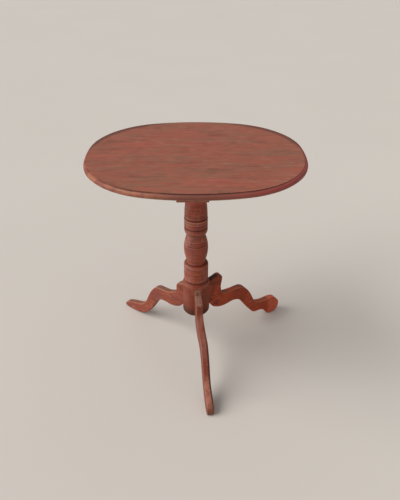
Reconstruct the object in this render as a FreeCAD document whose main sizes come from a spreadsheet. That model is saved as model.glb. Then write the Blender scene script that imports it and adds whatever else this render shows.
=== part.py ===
import FreeCAD
import Part
import Sketcher
import math
import os
from types import SimpleNamespace

# A wine table: an oval top of three glued boards on a bearer, a turned column and three scroll-sawn legs.
# Millimetres, +Z up. The origin is on the floor under the column's axis, +X runs along the top's long
# axis and the front leg points to -Y.

SIZES = (
    # The oval top
    ("top_height", 717.0, "floor to the face of the top"),
    ("top_length", 618.0, "oval along X"),
    ("top_width", 535.0, "oval along Y"),
    ("top_thickness", 16.0, "boards of the top"),
    ("end_radius", 570.0, "flat arc at each end of the oval"),
    ("side_radius", 580.0, "flat arc along each side of the oval"),
    ("corner_radius", 229.0, "arc that joins an end to a side"),
    ("rim_width", 9.0, "moulded edge, from its step to the outside"),
    ("rim_step", 1.5, "step down from the face to the moulding"),
    ("rim_radius", 7.0, "round of the moulding"),
    ("underside_bevel", 3.5, "bevel under the edge"),
    ("middle_board_width", 182.0, "middle board of the top, along Y"),
    ("middle_board_offset", -6.0, "middle board's centre line from the column's axis, along Y"),
    ("dowel_radius", 4.0, "dowels in the edge joints"),
    ("dowel_length", 50.0, "dowels in the edge joints"),
    ("dowel_spacing", 170.0, "from dowel to dowel along a joint"),
    # The bearer and its screws
    ("bearer_length", 456.0, "bearer along Y"),
    ("bearer_width", 82.0, "bearer along X"),
    ("bearer_offset", -8.0, "bearer's centre line from the column's axis, along X"),
    ("bearer_thickness", 24.0, "bearer, top to bottom"),
    ("bearer_bevel", 3.0, "bevel under each end of the bearer"),
    ("screw_length", 33.0, "face of the head to the point"),
    ("screw_head_radius", 4.2, "countersunk head"),
    ("screw_head_depth", 3.0, "countersunk head"),
    ("screw_shank_radius", 2.2, "shank"),
    ("screw_point_length", 6.0, "taper at the point"),
    ("screw_slot_width", 0.9, "slot across the head"),
    ("screw_slot_depth", 1.1, "slot across the head"),
    ("screw_row_width", 48.0, "between the two rows of screws, along X"),
    ("screw_end_margin", 46.0, "last screws from the bearer's ends"),
    ("screw_inner_reach", 58.0, "inner screws from the column's axis, along Y"),
    # The turned column, from the bottom up
    ("hub_drop", 14.0, "hub's underside below the knees"),
    ("hub_radius", 43.5, "hub that takes the legs"),
    ("hub_height", 122.0, "hub, underside to shoulder"),
    ("hub_foot_round", 13.0, "round under the hub"),
    ("hub_shoulder_round", 6.0, "round over the hub"),
    ("groove_radius", 35.5, "bottom of the groove over the hub"),
    ("groove_height", 9.0, "groove over the hub"),
    ("collar_radius", 38.8, "collar over the groove"),
    ("collar_height", 61.0, "collar, top to bottom"),
    ("collar_round", 5.0, "round at the collar's top"),
    ("waist_radius", 29.8, "waist between collar and bulb"),
    ("waist_height", 12.0, "waist, top to bottom"),
    ("bulb_radius", 37.8, "bulb at its widest"),
    ("bulb_lower_height", 43.0, "waist to the widest part of the bulb"),
    ("bulb_upper_height", 47.0, "widest part of the bulb to the neck"),
    ("neck_radius", 28.7, "edges of the groove at the neck"),
    ("neck_height", 4.0, "groove at the neck, top to bottom"),
    ("ring_radius", 36.0, "wide ring over the neck"),
    ("ring_foot_height", 24.0, "neck to the ring's lower scored line"),
    ("ring_foot_round", 16.0, "height of the round under the ring"),
    ("ring_height", 28.0, "ring between its scored lines"),
    ("score_depth", 1.8, "scored lines of the column"),
    ("score_height", 4.0, "scored lines of the column"),
    ("shaft_radius", 35.2, "upper shaft at its foot"),
    ("throat_radius", 25.5, "upper shaft at its narrowest"),
    ("bead_radius", 32.0, "bead under the head"),
    ("bead_height", 14.0, "bead under the head"),
    ("head_radius", 29.5, "head that carries the bearer"),
    ("head_height", 30.0, "head, bead to bearer"),
    ("head_tenon_radius", 17.5, "round tenon in the bearer"),
    ("head_tenon_gap", 0.5, "tenon's end below the top's underside"),
    ("wedge_depth", 18.0, "wedge in the head tenon"),
    ("wedge_butt", 4.0, "wedge's thickness at the top"),
    ("wedge_tip", 1.2, "wedge's thickness at the bottom"),
    # The legs
    ("leg_thickness", 22.0, "board that the legs are sawn from"),
    ("leg_arris_radius", 2.6, "rubbed edges of the legs"),
    ("knee_height", 172.0, "floor to the top of the knee"),
    ("right_instep_reach", 260.0, "column's axis to the right leg's instep"),
    ("left_instep_reach", 249.0, "column's axis to the left leg's instep"),
    ("front_instep_reach", 254.0, "column's axis to the front leg's instep"),
    ("ear_width", 56.0, "whole ear beside the hub, outwards"),
    ("ear_height", 98.0, "whole ear above the knee"),
    ("right_angle", 33.8, "right leg about +Z, in degrees from +X"),
    ("left_angle", 138.6, "left leg about +Z, in degrees from +X"),
    ("front_angle", -82.3, "front leg about +Z, in degrees from +X"),
    ("right_instep_lift", 20.0, "right leg's instep above the left one's"),
    ("right_toe_length", 111.0, "instep to the end of the right toe"),
    ("right_toe_height", 74.0, "whole toe with its knob"),
    ("left_toe_length", 106.0, "instep to the end of the left toe"),
    ("left_toe_height", 47.0, "worn toe without its knob"),
    ("front_toe_length", 67.0, "instep to the end of the front toe"),
    ("front_toe_height", 51.0, "toe cut short"),
    ("tenon_rise", 32.0, "leg tenon's lower edge above the hub's underside"),
    ("tenon_height", 44.0, "leg tenon"),
    ("tenon_thickness", 12.0, "leg tenon"),
    ("tenon_depth", 26.0, "leg tenon in the hub"),
    ("tenon_root", 8.0, "leg tenon's root inside the leg"),
    ("peg_radius", 4.0, "peg through hub and tenon"),
    ("peg_inset", 10.0, "peg's centre line in from the hub's side"),
    # Fits and cuts
    ("fit_clearance", 0.15, "glued fits, on each side"),
    ("mortise_floor_gap", 0.5, "end of a leg tenon to the floor of its mortise"),
    ("overrun", 5.0, "how far a cutting shape runs past what it cuts"),
)

# Leg outlines as shares, outwards then upwards. The blade runs from the hub's side to the instep and is as
# high as the knee, the ear starts at the hub's side and the knee, and the toe starts at the instep and the floor.
BLADE_UNDER_SHARES = (
    (-0.06, 1.08), (0.012, 1.0), (0.088, 0.86), (0.19, 0.78), (0.325, 0.74),
    (0.495, 0.74), (0.61, 0.68), (0.725, 0.495), (0.85, 0.267), (0.97, 0.116),
)
BLADE_OVER_SHARES = (
    (1.0, 0.36), (0.876, 0.622), (0.767, 0.85), (0.648, 0.977), (0.53, 1.0), (0.373, 1.03), (0.268, 1.087),
)
WHOLE_EAR_SHARES = (
    (0.955, 0.316), (0.91, 0.51), (0.964, 0.724), (0.99, 0.857), (0.91, 0.964),
    (0.76, 1.0), (0.545, 0.97), (0.295, 0.929), (0.027, 0.913), (-0.24, 0.913),
)
BROKEN_EAR_SHARES = (
    (0.76, 0.235), (0.66, 0.418), (0.634, 0.58), (0.527, 0.663), (0.295, 0.704), (0.027, 0.755), (-0.24, 0.786),
)
KNOB_SOLE_SHARES = ((0.07, 0.51), (0.28, 0.445), (0.387, 0.324), (0.486, 0.108), (0.613, 0.0))
KNOB_CROWN_SHARES = (
    (0.775, 0.0), (0.85, 0.035), (0.937, 0.13), (1.0, 0.39),
    (0.92, 0.7), (0.757, 0.905), (0.55, 0.973), (0.37, 0.973), (0.19, 1.0),
)
WORN_SOLE_SHARES = ((0.104, 0.245), (0.34, 0.11), (0.647, 0.0))
WORN_CROWN_SHARES = (
    (0.89, 0.0), (0.945, 0.045), (0.985, 0.125), (0.968, 0.27), (0.794, 0.55), (0.5, 0.796), (0.216, 1.0),
)
SHORT_SOLE_SHARES = ((0.12, 0.224), (0.388, 0.082), (0.64, 0.0))
SHORT_CROWN_SHARES = ((0.887, 0.0), (0.984, 0.118), (0.984, 0.47), (0.855, 0.706), (0.58, 0.843), (0.29, 1.0))

DOWELS_PER_JOINT = 3

doc = FreeCAD.newDocument("WineTable")


class Size:
    """A size that keeps its number and the sheet expression that gives it."""

    def __init__(self, value, text):
        self.value = value
        self.text = text

    def __add__(self, other):
        other = as_size(other)
        return Size(self.value + other.value, f"({self.text} + {other.text})")

    def __sub__(self, other):
        other = as_size(other)
        return Size(self.value - other.value, f"({self.text} - {other.text})")

    def __mul__(self, other):
        other = as_size(other)
        return Size(self.value * other.value, f"({self.text} * {other.text})")

    def __truediv__(self, other):
        other = as_size(other)
        return Size(self.value / other.value, f"({self.text} / {other.text})")

    def __neg__(self):
        return Size(-self.value, f"(0 - {self.text})")

    def __rmul__(self, other):
        return as_size(other) * self


def as_size(number):
    """Take a plain number as a size."""
    return number if isinstance(number, Size) else Size(number, repr(number))


def make_sheet():
    """Write the driving sizes into the sheet and return them by name."""
    sheet = doc.addObject("Spreadsheet::Sheet", "Sizes")
    for row, (name, value, note) in enumerate(SIZES, start=1):
        sheet.set(f"A{row}", name)
        sheet.set(f"B{row}", str(value))
        sheet.setAlias(f"B{row}", name)
        sheet.set(f"C{row}", note)
    doc.recompute()
    return SimpleNamespace(**{name: Size(float(sheet.get(name)), f"Sizes.{name}") for name, _, _ in SIZES})


size = make_sheet()
ZERO = Size(0.0, "0")

# Heights that several pieces share
top_underside = size.top_height - size.top_thickness
bearer_underside = top_underside - size.bearer_thickness
hub_underside = size.knee_height - size.hub_drop
hub_top = hub_underside + size.hub_height
tenon_low = hub_underside + size.tenon_rise
tenon_high = tenon_low + size.tenon_height
peg_reach = size.hub_radius - size.peg_inset
peg_level = tenon_low + size.tenon_height / 2

# The joints of the top lie either side of the middle board
front_seam = size.middle_board_offset - size.middle_board_width / 2
rear_seam = size.middle_board_offset + size.middle_board_width / 2


def bind(item, prop, amount):
    """Tie a property to the sheet."""
    item.setExpression(prop, as_size(amount).text)


def move(item, x, y, z):
    """Tie an item's place to the sheet."""
    for axis, amount in zip("xyz", (x, y, z)):
        bind(item, f"Placement.Base.{axis}", amount)


def add_body(label):
    body = doc.addObject("PartDesign::Body", label)
    body.Label = label
    return body


def origin_feature(body, role):
    return next(feature for feature in body.Origin.OriginFeatures if feature.Role == role)


def add_sketch(body, name, plane, level=ZERO):
    """Attach a sketch to one of the body's own planes, or to a level above it."""
    sketch = body.newObject("Sketcher::SketchObject", name)
    sketch.AttachmentSupport = [(origin_feature(body, plane), "")]
    sketch.MapMode = "FlatFace"
    bind(sketch, "AttachmentOffset.Base.z", level)
    return sketch


def pin_point(sketch, geometry, vertex, x, y):
    """Hold one end or centre of a sketch edge at sheet sizes."""
    for kind, axis, amount in (("DistanceX", -2, x), ("DistanceY", -1, y)):
        if amount.value == 0.0:
            sketch.addConstraint(Sketcher.Constraint("PointOnObject", geometry, vertex, axis))
        else:
            index = sketch.addConstraint(Sketcher.Constraint(kind, -1, 1, geometry, vertex, amount.value))
            bind(sketch, f"Constraints[{index}]", amount)


def pin_radius(sketch, geometry, radius):
    index = sketch.addConstraint(Sketcher.Constraint("Radius", geometry, radius.value))
    bind(sketch, f"Constraints[{index}]", radius)


def arc_between(start, end, radius, bulge_right):
    """Arc of a circle from start to end, and whether it runs the other way round its circle."""
    chord = end - start
    half = chord.Length / 2
    rise = math.sqrt(max(radius * radius - half * half, 0.0))
    left = FreeCAD.Vector(-chord.y, chord.x, 0).normalize()
    centre = start + chord * 0.5 + left * (rise if bulge_right else -rise)
    circle = Part.Circle(centre, FreeCAD.Vector(0, 0, 1), radius)
    first = math.atan2(start.y - centre.y, start.x - centre.x)
    last = math.atan2(end.y - centre.y, end.x - centre.x)
    if bulge_right:
        return Part.ArcOfCircle(circle, first, last if last > first else last + 2 * math.pi), False
    return Part.ArcOfCircle(circle, last, first if first > last else first + 2 * math.pi), True


def draw_profile(sketch, corners):
    """Draw a closed profile. Each corner is (x, y), or (x, y, radius, side) when an arc leads on from it."""
    points = [FreeCAD.Vector(corner[0].value, corner[1].value, 0) for corner in corners]
    ends = []
    for number, corner in enumerate(corners):
        start = points[number]
        end = points[(number + 1) % len(points)]
        if len(corner) == 2:
            ends.append((sketch.addGeometry(Part.LineSegment(start, end), False), 1, 2))
        else:
            arc, backwards = arc_between(start, end, corner[2].value, corner[3] == "out")
            edge = sketch.addGeometry(arc, False)
            ends.append((edge, 2, 1) if backwards else (edge, 1, 2))
    for number, corner in enumerate(corners):
        edge, first, last = ends[number]
        following, following_first, _ = ends[(number + 1) % len(ends)]
        sketch.addConstraint(Sketcher.Constraint("Coincident", edge, last, following, following_first))
    for number, corner in enumerate(corners):
        edge, first, _ = ends[number]
        pin_point(sketch, edge, first, corner[0], corner[1])
        if len(corner) > 2:
            pin_radius(sketch, edge, corner[2])


def sweep_radius(run, rise):
    """Radius of an arc that starts square to its rise and covers this run and rise."""
    return (run * run + rise * rise) / (2 * rise)


def turned_body(label, corners):
    """Turn a half profile, given as radius and height, about the body's Z axis."""
    body = add_body(label)
    sketch = add_sketch(body, f"{label}_profile", "XZ_Plane")
    draw_profile(sketch, corners)
    turning = body.newObject("PartDesign::Revolution", f"{label}_turning")
    turning.Profile = sketch
    turning.ReferenceAxis = (origin_feature(body, "Z_Axis"), [""])
    turning.Angle = 360
    return body


def add_pad(body, name, sketch, length, both_ways=False):
    pad = body.newObject("PartDesign::Pad", name)
    pad.Profile = sketch
    bind(pad, "Length", length)
    if both_ways:
        pad.SideType = "Symmetric"
    return pad


def rectangle(x_low, y_low, x_high, y_high):
    return ((x_low, y_low), (x_high, y_low), (x_high, y_high), (x_low, y_high))


def join(name, items):
    """Fuse shapes that cut together."""
    fused = doc.addObject("Part::MultiFuse", name)
    fused.Shapes = items
    return fused


def cut(label, base, tool):
    """Cut a tool out of a base and call the result by its node's name."""
    result = doc.addObject("Part::Cut", label)
    result.Label = label
    result.Base = base
    result.Tool = tool
    return result


def common(label, base, tool):
    result = doc.addObject("Part::Common", label)
    result.Label = label
    result.Base = base
    result.Tool = tool
    return result


def draw_oval(sketch, inset):
    """Draw the oval as eight tangent arcs: ends, corners and sides, all moved in by the inset."""
    end_radius = size.end_radius - inset
    side_radius = size.side_radius - inset
    corner_radius = size.corner_radius - inset
    end_centre = size.top_length / 2 - size.end_radius
    side_centre = size.top_width / 2 - size.side_radius
    # The corner's centre lies where its circle touches both the end's and the side's from inside
    to_end = end_radius.value - corner_radius.value
    to_side = side_radius.value - corner_radius.value
    end_point = FreeCAD.Vector(end_centre.value, 0, 0)
    side_point = FreeCAD.Vector(0, side_centre.value, 0)
    apart = (side_point - end_point).Length
    along = (to_end ** 2 - to_side ** 2 + apart ** 2) / (2 * apart)
    across = math.sqrt(to_end ** 2 - along ** 2)
    way = (side_point - end_point).normalize()
    corner = end_point + way * along + FreeCAD.Vector(-way.y, way.x, 0) * across
    end_turn = math.atan2(corner.y, corner.x - end_centre.value)
    side_turn = math.atan2(corner.y - side_centre.value, corner.x)
    quarter = math.pi / 2
    arcs = (
        (end_centre.value, 0.0, end_radius, -end_turn, end_turn),
        (corner.x, corner.y, corner_radius, end_turn, side_turn),
        (0.0, side_centre.value, side_radius, side_turn, 2 * quarter - side_turn),
        (-corner.x, corner.y, corner_radius, 2 * quarter - side_turn, 2 * quarter - end_turn),
        (-end_centre.value, 0.0, end_radius, 2 * quarter - end_turn, 2 * quarter + end_turn),
        (-corner.x, -corner.y, corner_radius, 2 * quarter + end_turn, 2 * quarter + side_turn),
        (0.0, -side_centre.value, side_radius, 2 * quarter + side_turn, 4 * quarter - side_turn),
        (corner.x, -corner.y, corner_radius, 4 * quarter - side_turn, 4 * quarter - end_turn),
    )
    edges = []
    for x, y, radius, first, last in arcs:
        circle = Part.Circle(FreeCAD.Vector(x, y, 0), FreeCAD.Vector(0, 0, 1), radius.value)
        edges.append(sketch.addGeometry(Part.ArcOfCircle(circle, first, last), False))
    for edge, following in zip(edges, edges[1:] + edges[:1]):
        sketch.addConstraint(Sketcher.Constraint("Tangent", edge, 2, following, 1))
    for edge, arc in zip(edges, arcs):
        pin_radius(sketch, edge, arc[2])
    pin_point(sketch, edges[0], 3, end_centre, ZERO)
    pin_point(sketch, edges[2], 3, ZERO, side_centre)
    pin_point(sketch, edges[4], 3, -end_centre, ZERO)
    pin_point(sketch, edges[6], 3, ZERO, -side_centre)


def edges_at(feature, level):
    """Names of the flat edges that lie at one level."""
    names = []
    for number, edge in enumerate(feature.Shape.Edges, start=1):
        box = edge.BoundBox
        if max(abs(box.ZMin - level.value), abs(box.ZMax - level.value)) < size.fit_clearance.value:
            names.append(f"Edge{number}")
    return names


def make_moulded_top():
    """The whole oval with its stepped and rounded edge, before it is parted into boards."""
    body = add_body("moulded_top")
    shoulder = size.top_height - size.rim_step
    outline = add_sketch(body, "oval_outline", "XY_Plane", top_underside)
    draw_oval(outline, ZERO)
    slab = add_pad(body, "oval_slab", outline, size.top_thickness - size.rim_step)
    doc.recompute()
    moulding = body.newObject("PartDesign::Fillet", "rim_round")
    moulding.Base = (slab, edges_at(slab, shoulder))
    bind(moulding, "Radius", size.rim_radius)
    doc.recompute()
    bevel = body.newObject("PartDesign::Chamfer", "rim_bevel")
    bevel.Base = (moulding, edges_at(moulding, top_underside))
    bind(bevel, "Size", size.underside_bevel)
    face_outline = add_sketch(body, "face_outline", "XY_Plane", shoulder)
    draw_oval(face_outline, size.rim_width)
    add_pad(body, "raised_face", face_outline, size.rim_step)
    doc.recompute()
    return body


def make_strip(name, y_low, y_high):
    """A block that covers one board of the top."""
    strip = doc.addObject("Part::Box", name)
    bind(strip, "Length", size.top_length + 2 * size.overrun)
    bind(strip, "Width", y_high - y_low)
    bind(strip, "Height", size.top_thickness + 2 * size.overrun)
    move(strip, -size.top_length / 2 - size.overrun, y_low, top_underside - size.overrun)
    return strip


def make_dowels(name, clearance):
    """Dowels along both joints of the top, lying along Y at half the boards' thickness."""
    dowels = []
    level = top_underside + size.top_thickness / 2
    length = size.dowel_length + 2 * clearance
    for seam in (front_seam, rear_seam):
        for number in range(DOWELS_PER_JOINT):
            place = size.dowel_spacing * (number - (DOWELS_PER_JOINT - 1) / 2)
            dowel = doc.addObject("Part::Cylinder", f"{name}_{len(dowels)}")
            bind(dowel, "Radius", size.dowel_radius + clearance)
            bind(dowel, "Height", length)
            dowel.Placement.Rotation = FreeCAD.Rotation(FreeCAD.Vector(1, 0, 0), 90)
            move(dowel, place, seam + length / 2, level)
            dowels.append(dowel)
    return dowels


def screw_profile(clearance):
    """Half profile of a screw that points up, with its head at height zero."""
    head = size.screw_head_radius + clearance
    shank = size.screw_shank_radius + clearance
    return (
        (ZERO, ZERO),
        (head, ZERO),
        (shank, size.screw_head_depth),
        (shank, size.screw_length - size.screw_point_length),
        (ZERO, size.screw_length + clearance),
    )


def screw_places():
    """Two rows of screws, clear of the column's head."""
    end = size.bearer_length.value / 2 - size.screw_end_margin.value
    inner = size.screw_inner_reach.value
    side = size.screw_row_width.value / 2
    middle = size.bearer_offset.value
    level = bearer_underside.value
    rows = (middle - side, middle + side)
    return [FreeCAD.Vector(x, y, level) for x in rows for y in (-end, -inner, inner, end)]


def copies(label, body, places):
    """One group of separate solids, all alike."""
    group = doc.addObject("Part::Feature", label)
    group.Label = label
    group.Shape = Part.makeCompound([body.Shape.translated(place) for place in places])
    return group


def make_screws():
    """The screws as one group, and the bores that they sit in."""
    screw = turned_body("screw", screw_profile(ZERO))
    slot_sketch = add_sketch(screw, "screw_slot_outline", "XY_Plane")
    half_slot = size.screw_slot_width / 2
    slot_reach = size.screw_head_radius + size.overrun
    draw_profile(slot_sketch, rectangle(-slot_reach, -half_slot, slot_reach, half_slot))
    doc.recompute()
    slot = screw.newObject("PartDesign::Pocket", "screw_slot")
    slot.Profile = slot_sketch
    bind(slot, "Length", size.screw_slot_depth)
    slot.Reversed = True
    bore = turned_body("screw_bore", screw_profile(size.fit_clearance))
    doc.recompute()
    return copies("bearer_screws", screw, screw_places()), copies("screw_bores", bore, screw_places())


def make_bearer(screw_bores):
    """A wide batten with bevelled ends, bored for the column's tenon and the screws."""
    blank = add_body("bearer_blank")
    side = add_sketch(blank, "bearer_side", "YZ_Plane", size.bearer_offset)
    end = size.bearer_length / 2
    bevelled_end = end - size.bearer_bevel
    bevel_top = bearer_underside + size.bearer_bevel
    draw_profile(side, (
        (-bevelled_end, bearer_underside),
        (bevelled_end, bearer_underside),
        (end, bevel_top),
        (end, top_underside),
        (-end, top_underside),
        (-end, bevel_top),
    ))
    add_pad(blank, "bearer_batten", side, size.bearer_width, both_ways=True)
    hole = doc.addObject("Part::Cylinder", "head_tenon_hole")
    bind(hole, "Radius", size.head_tenon_radius + size.fit_clearance)
    bind(hole, "Height", size.bearer_thickness + 2 * size.overrun)
    move(hole, ZERO, ZERO, bearer_underside - size.overrun)
    return cut("bearer", cut("bored_bearer", blank, hole), screw_bores)


def make_boards(dowel_bores, screw_bores):
    """Part the moulded oval along its two joints and bore each board."""
    top = make_moulded_top()
    front_edge = -size.top_width / 2 - size.overrun
    rear_edge = size.top_width / 2 + size.overrun
    bores = join("dowel_bores", dowel_bores)
    boards = []
    for name, y_low, y_high in (
        ("front", front_edge, front_seam),
        ("middle", front_seam, rear_seam),
        ("rear", rear_seam, rear_edge),
    ):
        board = common(f"{name}_board_blank", top, make_strip(f"{name}_strip", y_low, y_high))
        boards.append(cut(f"top_board_{name}", cut(f"{name}_board_dowelled", board, bores), screw_bores))
    return boards


def column_profile():
    """Half profile of the column, from the middle of its underside up the outside to the end of its tenon."""
    hub = size.hub_radius
    collar_low = hub_top + size.groove_height
    collar_top = collar_low + size.collar_height
    waist_top = collar_top + size.waist_height
    bulb_level = waist_top + size.bulb_lower_height
    bulb_top = bulb_level + size.bulb_upper_height
    foot_low = bulb_top + size.neck_height
    foot_top = foot_low + size.ring_foot_height
    ring_low = foot_top + size.score_height
    ring_top = ring_low + size.ring_height
    score_top = ring_top + size.score_height
    head_low = bearer_underside - size.head_height
    bead_low = head_low - size.bead_height
    taper_level = (score_top + bead_low) / 2
    taper_radius = (size.shaft_radius + size.throat_radius) / 2
    taper = sweep_radius(taper_level - score_top, size.shaft_radius - taper_radius)
    bulb_lower = sweep_radius(size.bulb_lower_height, size.bulb_radius - size.waist_radius)
    bulb_upper = sweep_radius(size.bulb_upper_height, size.bulb_radius - size.neck_radius)
    foot_round = sweep_radius(size.ring_foot_round, size.ring_radius - size.neck_radius)
    bead_round = size.bead_height / 2
    tenon_end = top_underside - size.head_tenon_gap
    return (
        (ZERO, hub_underside),
        (hub - size.hub_foot_round, hub_underside, size.hub_foot_round, "out"),
        (hub, hub_underside + size.hub_foot_round),
        (hub, hub_top - size.hub_shoulder_round, size.hub_shoulder_round, "out"),
        (hub - size.hub_shoulder_round, hub_top),
        (size.groove_radius, hub_top + size.groove_height / 3),
        (size.collar_radius - size.groove_height / 3, collar_low, size.groove_height / 3, "out"),
        (size.collar_radius, collar_low + size.groove_height / 3),
        (size.collar_radius, collar_top - size.collar_round, size.collar_round, "out"),
        (size.collar_radius - size.collar_round, collar_top),
        (size.waist_radius, collar_top),
        (size.waist_radius, waist_top, bulb_lower, "out"),
        (size.bulb_radius, bulb_level, bulb_upper, "out"),
        (size.neck_radius, bulb_top),
        (size.neck_radius - size.score_depth, (bulb_top + foot_low) / 2),
        (size.neck_radius, foot_low, foot_round, "out"),
        (size.ring_radius, foot_low + size.ring_foot_round),
        (size.ring_radius, foot_top),
        (size.ring_radius - size.score_depth, (foot_top + ring_low) / 2),
        (size.ring_radius, ring_low),
        (size.ring_radius, ring_top),
        (size.shaft_radius - size.score_depth, (ring_top + score_top) / 2),
        (size.shaft_radius, score_top, taper, "out"),
        (taper_radius, taper_level, taper, "in"),
        (size.throat_radius, bead_low),
        (size.bead_radius - bead_round, bead_low, bead_round, "out"),
        (size.bead_radius, bead_low + bead_round, bead_round, "out"),
        (size.bead_radius - bead_round, head_low),
        (size.head_radius, head_low),
        (size.head_radius, bearer_underside),
        (size.head_tenon_radius, bearer_underside),
        (size.head_tenon_radius, tenon_end),
        (ZERO, tenon_end),
    )


def turn_about_axis(item, angle, base):
    """Turn an item about the column's axis and set its corner or end there."""
    around = FreeCAD.Rotation(FreeCAD.Vector(0, 0, 1), angle.value)
    item.Placement = FreeCAD.Placement(around.multVec(base), around.multiply(item.Placement.Rotation))


def make_mortise(name, angle):
    """The socket of one leg's tenon."""
    box = doc.addObject("Part::Box", name)
    floor = size.hub_radius - size.tenon_depth - size.mortise_floor_gap
    width = size.tenon_thickness + 2 * size.fit_clearance
    bind(box, "Length", size.hub_radius + size.overrun - floor)
    bind(box, "Width", width)
    bind(box, "Height", size.tenon_height + 2 * size.fit_clearance)
    low = tenon_low - size.fit_clearance
    turn_about_axis(box, angle, FreeCAD.Vector(floor.value, -width.value / 2, low.value))
    return box


def make_peg(name, angle, clearance):
    """A rod square to one leg's plane, through its tenon and out of both sides of the hub."""
    rod = doc.addObject("Part::Cylinder", name)
    half = size.hub_radius + size.overrun
    bind(rod, "Radius", size.peg_radius + clearance)
    bind(rod, "Height", 2 * half)
    rod.Placement.Rotation = FreeCAD.Rotation(FreeCAD.Vector(1, 0, 0), 90)
    turn_about_axis(rod, angle, FreeCAD.Vector(peg_reach.value, half.value, peg_level.value))
    return rod


def make_wedge():
    """The wedge's full width, as it splits the head tenon along the bearer's grain."""
    body = add_body("wedge_blank")
    sketch = add_sketch(body, "wedge_end", "YZ_Plane")
    end = top_underside - size.head_tenon_gap
    low = end - size.wedge_depth
    draw_profile(sketch, (
        (-size.wedge_tip / 2, low),
        (size.wedge_tip / 2, low),
        (size.wedge_butt / 2, end),
        (-size.wedge_butt / 2, end),
    ))
    add_pad(body, "wedge_slip", sketch, 2 * (size.head_tenon_radius + size.overrun), both_ways=True)
    return body


def make_column(angles):
    """The column with its mortises, the pegs of the legs and the wedge in its tenon."""
    turned = turned_body("turned_column", column_profile())
    wedge = make_wedge()
    names = ("front", "left", "right")
    mortises = [make_mortise(f"{name}_mortise", angle) for name, angle in zip(names, angles)]
    bores = [make_peg(f"{name}_peg_bore", angle, size.fit_clearance) for name, angle in zip(names, angles)]
    rods = [make_peg(f"{name}_peg_rod", angle, ZERO) for name, angle in zip(names, angles)]
    column = cut("column", turned, join("column_cuts", mortises + bores + [wedge]))
    pegs = common("leg_pegs", turned, join("peg_rods", rods))
    tenon = doc.addObject("Part::Cylinder", "head_tenon")
    bind(tenon, "Radius", size.head_tenon_radius)
    bind(tenon, "Height", size.bearer_thickness)
    move(tenon, ZERO, ZERO, bearer_underside)
    return column, pegs, common("tenon_wedge", wedge, tenon)


def leg_runs(instep_reach, instep_lift, ear_shares, toe_length, toe_height, sole_shares, crown_shares):
    """The lower edge from hub to pad and the upper edge from pad to ear, as points outwards and upwards."""
    blade_length = instep_reach.value - size.hub_radius.value

    def blade(out, up):
        rise = up * size.knee_height.value + out * instep_lift.value
        return FreeCAD.Vector(size.hub_radius.value + out * blade_length, rise, 0)

    def ear(out, up):
        rise = size.knee_height.value + up * size.ear_height.value
        return FreeCAD.Vector(size.hub_radius.value + out * size.ear_width.value, rise, 0)

    def toe(out, up):
        return FreeCAD.Vector(instep_reach.value + out * toe_length.value, up * toe_height.value, 0)

    under = [blade(*share) for share in BLADE_UNDER_SHARES] + [toe(*share) for share in sole_shares]
    over = [toe(*share) for share in crown_shares] + [blade(*share) for share in BLADE_OVER_SHARES]
    return under, over + [ear(*share) for share in ear_shares]


def draw_leg(sketch, under, over):
    """Join the two smooth edges by the flat pad on the floor and a straight end inside the hub."""
    for run in (under, over):
        curve = Part.BSplineCurve()
        curve.interpolate(run)
        sketch.addGeometry(curve, False)
    sketch.addGeometry(Part.LineSegment(under[-1], over[0]), False)
    sketch.addGeometry(Part.LineSegment(over[-1], under[0]), False)


def side_edges(feature, half_thickness, inner):
    """Names of the edges round both sides of a leg, but for those inside the hub."""
    names = []
    for number, edge in enumerate(feature.Shape.Edges, start=1):
        box = edge.BoundBox
        on_side = box.YLength < half_thickness / 2 and abs(abs(box.YMin) - half_thickness) < half_thickness / 2
        if on_side and box.XMax > inner:
            names.append(f"Edge{number}")
    return names


def make_leg(label, angle, runs):
    """One leg: sawn outline, rubbed edges, an end hollowed to the hub, and a pegged tenon."""
    body = add_body(label)
    outline = add_sketch(body, f"{label}_outline", "XZ_Plane")
    draw_leg(outline, *runs)
    board = add_pad(body, f"{label}_board", outline, size.leg_thickness, both_ways=True)
    doc.recompute()
    rubbed = body.newObject("PartDesign::Fillet", f"{label}_arrises")
    rubbed.Base = (board, side_edges(board, size.leg_thickness.value / 2, size.hub_radius.value))
    bind(rubbed, "Radius", size.leg_arris_radius)
    hollow_outline = add_sketch(body, f"{label}_hollow_outline", "XZ_Plane")
    ear_top = size.knee_height + size.ear_height + size.overrun
    draw_profile(hollow_outline, rectangle(ZERO, ZERO, size.hub_radius + size.fit_clearance, ear_top))
    hollow = body.newObject("PartDesign::Groove", f"{label}_hollow")
    hollow.Profile = hollow_outline
    hollow.ReferenceAxis = (origin_feature(body, "Z_Axis"), [""])
    hollow.Angle = 360
    tenon_outline = add_sketch(body, f"{label}_tenon_outline", "XZ_Plane")
    tenon_end = size.hub_radius - size.tenon_depth
    draw_profile(tenon_outline, rectangle(tenon_end, tenon_low, size.hub_radius + size.tenon_root, tenon_high))
    add_pad(body, f"{label}_tenon", tenon_outline, size.tenon_thickness, both_ways=True)
    bore_outline = add_sketch(body, f"{label}_bore_outline", "XZ_Plane")
    centre = FreeCAD.Vector(peg_reach.value, peg_level.value, 0)
    bore_radius = size.peg_radius + size.fit_clearance
    circle = bore_outline.addGeometry(Part.Circle(centre, FreeCAD.Vector(0, 0, 1), bore_radius.value), False)
    pin_point(bore_outline, circle, 3, peg_reach, peg_level)
    pin_radius(bore_outline, circle, bore_radius)
    doc.recompute()
    bore = body.newObject("PartDesign::Pocket", f"{label}_bore")
    bore.Profile = bore_outline
    bind(bore, "Length", size.leg_thickness + size.overrun)
    bore.SideType = "Symmetric"
    turn_about_axis(body, angle, FreeCAD.Vector(0, 0, 0))
    return body


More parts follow.
